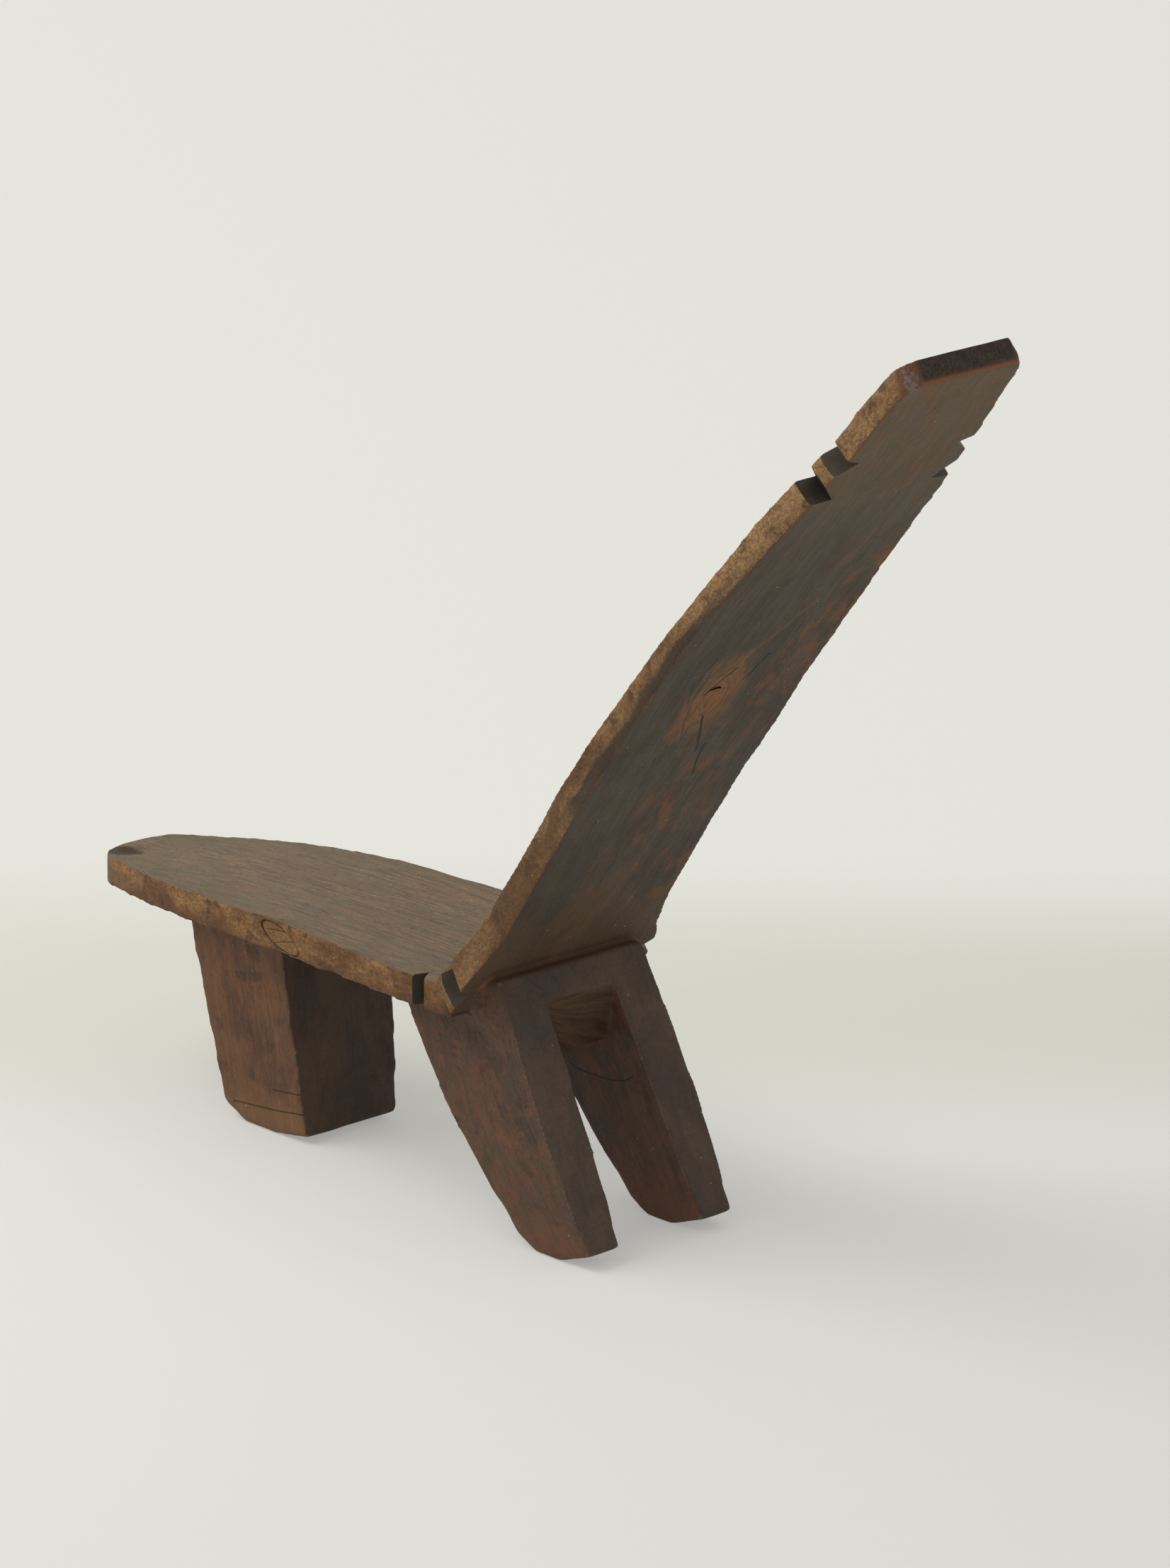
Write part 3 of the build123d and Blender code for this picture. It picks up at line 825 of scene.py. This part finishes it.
# the top arris of the rear face is rubbed to orange, and pale paint has come off on
# the knocked corner
top_line = times(tree, ease(tree, facing_up, 0.2, 0.45), ease(tree, facing_up, 0.92, 0.7))
at_rear_top = times(tree, ease(tree, up, 640, 650), ease(tree, behind, 10, 15))
colour = tint(tree, colour, times(tree, top_line, at_rear_top), 0.7, paint(150, 92, 52))
knocked = times(tree, ease(tree, across, 39, 46), ease(tree, facing_up, 0.2, 0.5))
knocked = times(tree, knocked, ease(tree, up, 630, 645))
colour = tint(tree, colour, knocked, 0.8, paint(116, 76, 50))
smear = ease(tree, from_middle(tree, across, up, (49, 655), (1, 1)), 45, 14)
smear = times(tree, smear, patches(tree, place, (4, 4, 4), 4.0, 0.7, 0.44, 0.56))
colour = tint(tree, colour, smear, 0.5, paint(140, 143, 152))
# painted shade in the inside corners, and brown wood where the backrest grows out of the block
crease = blend_colours(tree, ease(tree, up, 60, 36), paint(40, 33, 27), paint(112, 72, 42))
colour = paint_crease_shade(tree, colour, point, 0.85, crease)
colour = tint(tree, colour, fleck, 0.6, paint(200, 195, 185))
roughness = add_share(tree, 0.55, streak, 0.12)
relief = add_share(tree, sum_of(tree, speckle, 0.35, fibre, 0.12), grit, 0.3)
end_look(tree, colour, roughness, relief, 0.6)
dress(backrest, look)
past_rim = 6  # millimetres that a notch's cutter stands out of the plank's edge
for turn in (1, -1):
    cut_away(backrest, corner_notch(turn))
    for low, root, high, rim_x, root_x in (
        (565, 577.5, 583, 65.9, 48.9), (537, 538.5, 558, 69.1, 49.1),
    ):
        further = past_rim / (rim_x - root_x)
        notch = plank_wedge("upper_notch", turn, {
            (1, 1): (rim_x + past_rim, high + (high - root) * further),
            (1, -1): (rim_x + past_rim, low + (low - root) * further),
            (-1, 1): (root_x, root + 0.1), (-1, -1): (root_x, root),
        }, -9, 34)
        dress(notch, notch_look)
        cut_away(backrest, notch)
cut_away(backrest, knot_socket("backrest_knot", Vector((1.03, 1.15, 1.03))))
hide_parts("backrest")
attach(backrest, "root")

# Front leg: a broad block under the nose, hewn flat, that narrows down to a worn sole.
# It is carved in one with the seat.
front_leg = part_off("front_leg_block", [
    (-500, -20), (-500, 120), *front_leg_top, (-120, 150), (-120, -20),
], *whole_width)


def leg_look(name, rake, side_dark, side_pale, side_red, rear_dark, rear_pale, foot, cracks):
    """Hewn leg: long grain down its sides, end grain with fine checks on its ends."""
    look, tree, place = start_look(name)
    px, py, pz = three_of(tree, place)
    nx, ny, nz, point = read_shape(tree)
    level, steep = math.sin(rake), math.cos(rake)
    down = sum_of(tree, pz, steep, py, -level)
    aside = sum_of(tree, pz, level, py, steep)
    grain = add_node(tree, "CombineXYZ", px, down, aside)
    blotch, streak, fibre, pit, speckle, grit, fleck = read_figure(tree, grain)
    flank = blend_colours(tree, blotch, side_dark, side_pale)
    flank = tint(tree, flank, streak, 0.3, paint(74, 57, 46))
    red = patches(tree, grain, (12, 20, 12), 6.0, 0.7, 0.50, 0.62)
    flank = tint(tree, flank, red, 0.55, side_red)
    spots = patches(tree, place, (17, 23, 17), 5.0, 0.65, 0.55, 0.66)
    flank = tint(tree, flank, spots, 0.55, paint(58, 44, 36))
    flank = tint(tree, flank, grit, 0.25, paint(66, 49, 38))
    flank = tint(tree, flank, pit, 0.35, paint(50, 37, 29))
    flank = blend_colours(tree, ease(tree, pz, 45, 12, 0.0, 0.5), flank, foot)
    end = blend_colours(tree, blotch, rear_dark, rear_pale)
    end = tint(tree, end, red, 0.35, paint(98, 70, 52))
    end = tint(tree, end, speckle, 0.22, paint(52, 43, 38))
    checks = patches(tree, place, (9, 30, 0.8), 4.0, 0.65, 0.60, 0.68)
    end = tint(tree, end, checks, 0.4, paint(40, 32, 28))
    ends = ease(tree, maths(tree, "MAXIMUM", maths(tree, "ABSOLUTE", ny), nz), 0.5, 0.8)
    colour = blend_colours(tree, ends, flank, end)
    # the end wall of the gap is browner, and gouged in strokes that spread from one side
    side_x = maths(tree, "ABSOLUTE", px)
    turn = maths(tree, "ARCTAN2", less(tree, pz, 176), less(tree, 66.0, px))
    gouges = add_node(
        tree, "CombineXYZ", times(tree, turn, 60.0), times(tree, px, 0.2), 0.0
    )
    gouges = patches(tree, gouges, (3.5, 9, 30), 4.0, 0.6, 0.36, 0.62)
    gap = times(tree, ease(tree, nz, 0.12, -0.06), ease(tree, side_x, 46, 38))
    gap = times(tree, gap, times(tree, ends, ease(tree, py, 30, 55)))
    wall = blend_colours(tree, gouges, paint(66, 48, 34), paint(94, 69, 48))
    colour = blend_colours(tree, gap, colour, wall)
    for facing, places in cracks:
        if facing == "rear":
            line = crack(tree, px, pz, places, 0.5)
            shown, strength = ease(tree, ny, 0.3, 0.7), 0.5
        else:
            line = crack(tree, py, pz, places, 0.9)
            shown, strength = ease(tree, nx, 0.3, 0.7), 0.85
        if facing == "inner":
            shown = times(tree, shown, ease(tree, px, 0, -10))
        colour = tint(tree, colour, times(tree, line, shown), strength, paint(26, 20, 16))
    ledge = times(tree, ease(tree, nz, 0.5, 0.8), ease(tree, pz, 186, 194))
    colour = tint(tree, colour, ledge, 0.5, paint(100, 70, 50))
    # a painted highlight along the outer arrises, kept off the seams beside the bridge
    arris = times(tree, ease(tree, point, 0.53, 0.56), ease(tree, side_x, 33.6, 35.5))
    colour = tint(tree, colour, arris, 0.4, paint(138, 122, 118))
    # painted shade in the inside corners, and brown wood along the ledge under the backrest
    crease = blend_colours(tree, ease(tree, pz, 186, 196), paint(38, 30, 25), paint(102, 66, 42))
    colour = paint_crease_shade(tree, colour, point, 0.8, crease)
    colour = tint(tree, colour, fleck, 0.5, paint(190, 185, 178))
    roughness = add_share(tree, 0.50, streak, 0.12)
    end_look(tree, colour, roughness, dull_relief(tree, streak, fibre, pit, grit), 0.6)
    return look


front_look = leg_look(
    "front_leg_look", rake=0.15,
    side_dark=paint(98, 66, 46), side_pale=paint(122, 84, 56), side_red=paint(132, 84, 52),
    rear_dark=paint(68, 52, 40), rear_pale=paint(88, 68, 52), foot=paint(140, 106, 72),
    cracks=[
        ("side", [(-262.5, 15.5), (-247.2, 17.2), (-213.5, 20.2), (-175.9, 25.5)]),
        ("side", [(-213.4, 37.1), (-175.9, 41.7)]),
    ],
)
dress(front_leg, front_look)
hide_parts("front_leg")
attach(front_leg, "root")

# Rear legs and the bridge over the gap between them: two raked legs split out of one
# block under the corner, dark with handling, their soles worn round.
rear_outline = [
    (-120, -20), (-120, 150), *rear_block_top, (63.5, 206.7), (90, 220), (300, 220),
    (300, -20),
]
half_gap, outside = 32, 130
rear_look = leg_look(
    "rear_leg_look", rake=0.55,
    side_dark=paint(84, 66, 54), side_pale=paint(108, 78, 59), side_red=paint(124, 76, 52),
    rear_dark=paint(79, 65, 56), rear_pale=paint(97, 78, 65), foot=paint(116, 78, 56),
    cracks=[
        ("inner", [(24, 103), (34, 99), (48, 98.5), (71, 99), (86, 102), (95.5, 108)]),
        ("rear", [(26, 198), (18, 187), (20, 181)]),
        ("rear", [(13.8, 199), (10.8, 190)]),
        ("rear", [(47, 197), (33, 184)]),
        ("rear", [(0.8, 197), (-0.7, 191)]),
        ("rear", [(-18, 178.5), (-15.5, 188), (-21, 192)]),
    ],
)
for name, node, left, right in (
    ("rear_leg_right_side", "rear_leg_right", half_gap, outside),
    ("rear_leg_left_side", "rear_leg_left", -outside, -half_gap),
    ("rear_bridge_block", "rear_leg_bridge", -half_gap, half_gap),
):
    member = part_off(name, rear_outline, left, right)
    dress(member, rear_look)
    if node != "rear_leg_bridge":
        cut_away(member, corner_notch(1 if left > 0 else -1))
    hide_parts(node)
    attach(member, "root")

# Knots: two dead branch stubs that sit tight in the wood, one in the seat's right edge
# and one in the rear face of the backrest.  They are paler, cracked end grain.
def knot_wood(tree, place, along, aside, halves, dark, pale, ring, splits):
    """Dead branch wood: curved growth lines, a few splits and a dark line round it."""
    blotch, streak, fibre, pit, speckle, grit, _ = read_figure(tree, place)
    out = maths(tree, "SQRT", from_middle(tree, along, aside, (0, 0), halves))
    wobble = noise(tree, place, (9, 9, 9), 3.0)
    lines = growth_lines(tree, add_share(tree, out, wobble, 1.6), 26.0)
    colour = blend_colours(tree, blotch, dark, pale)
    colour = tint(tree, colour, lines, 0.3, paint(80, 57, 37))
    colour = tint(tree, colour, speckle, 0.35, paint(78, 56, 37))
    worn = times(tree, ease(tree, out, 0.84, 0.98), ease(tree, wobble, 0.36, 0.58))
    colour = tint(tree, colour, worn, ring, paint(32, 25, 20))
    for places in splits:
        colour = tint(tree, colour, crack(tree, along, aside, places, 0.6), 0.8, paint(24, 19, 15))
    end_look(tree, colour, 0.7, dull_relief(tree, streak, fibre, pit, grit), 0.6)


edge_knot_look, tree, place = start_look("edge_knot_look")
_, y, z = three_of(tree, place)
from_y, from_z = less(tree, y, -156.6), less(tree, z, 183)
tilt = math.radians(18)
knot_wood(
    tree, place,
    along=sum_of(tree, from_z, -math.sin(tilt), from_y, math.cos(tilt)),
    aside=sum_of(tree, from_z, math.cos(tilt), from_y, math.sin(tilt)),
    halves=(23, 8), dark=paint(132, 97, 58), pale=paint(166, 126, 76), ring=0.5,
    splits=[[(-16, -1), (-6, 4), (3, 7.5)], [(-5, -7), (6, 0.5), (15, 5.5)]],
)
back_knot_look, tree, place = start_look("back_knot_look")
across, up, _ = plank_place(tree, place)
knot_wood(
    tree, place, along=less(tree, across, 15), aside=less(tree, up, 304),
    halves=(11, 15), dark=paint(116, 81, 48), pale=paint(170, 124, 70), ring=0.3,
    splits=[[(-4, -2), (2, 3), (8.2, 9.2), (-0.5, 24.6)]],
)
for name, node, look in (
    ("edge_knot", "seat_edge_knot", edge_knot_look),
    ("back_knot", "backrest_knot", back_knot_look),
):
    knot = take_block(node)
    knot.name = name
    finish_with(knot, "REMESH", mode="VOXEL", voxel_size=0.0008, adaptivity=0)
    finish_with(knot, "SMOOTH", factor=0.5, iterations=2)
    finish_with(knot, "DISPLACE", texture=chopped, strength=0.0005, mid_level=0.7)
    only(knot)
    bpy.ops.object.shade_smooth()
    dress(knot, look)
    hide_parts(node)
    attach(knot, "root")

bpy.data.objects.remove(log)
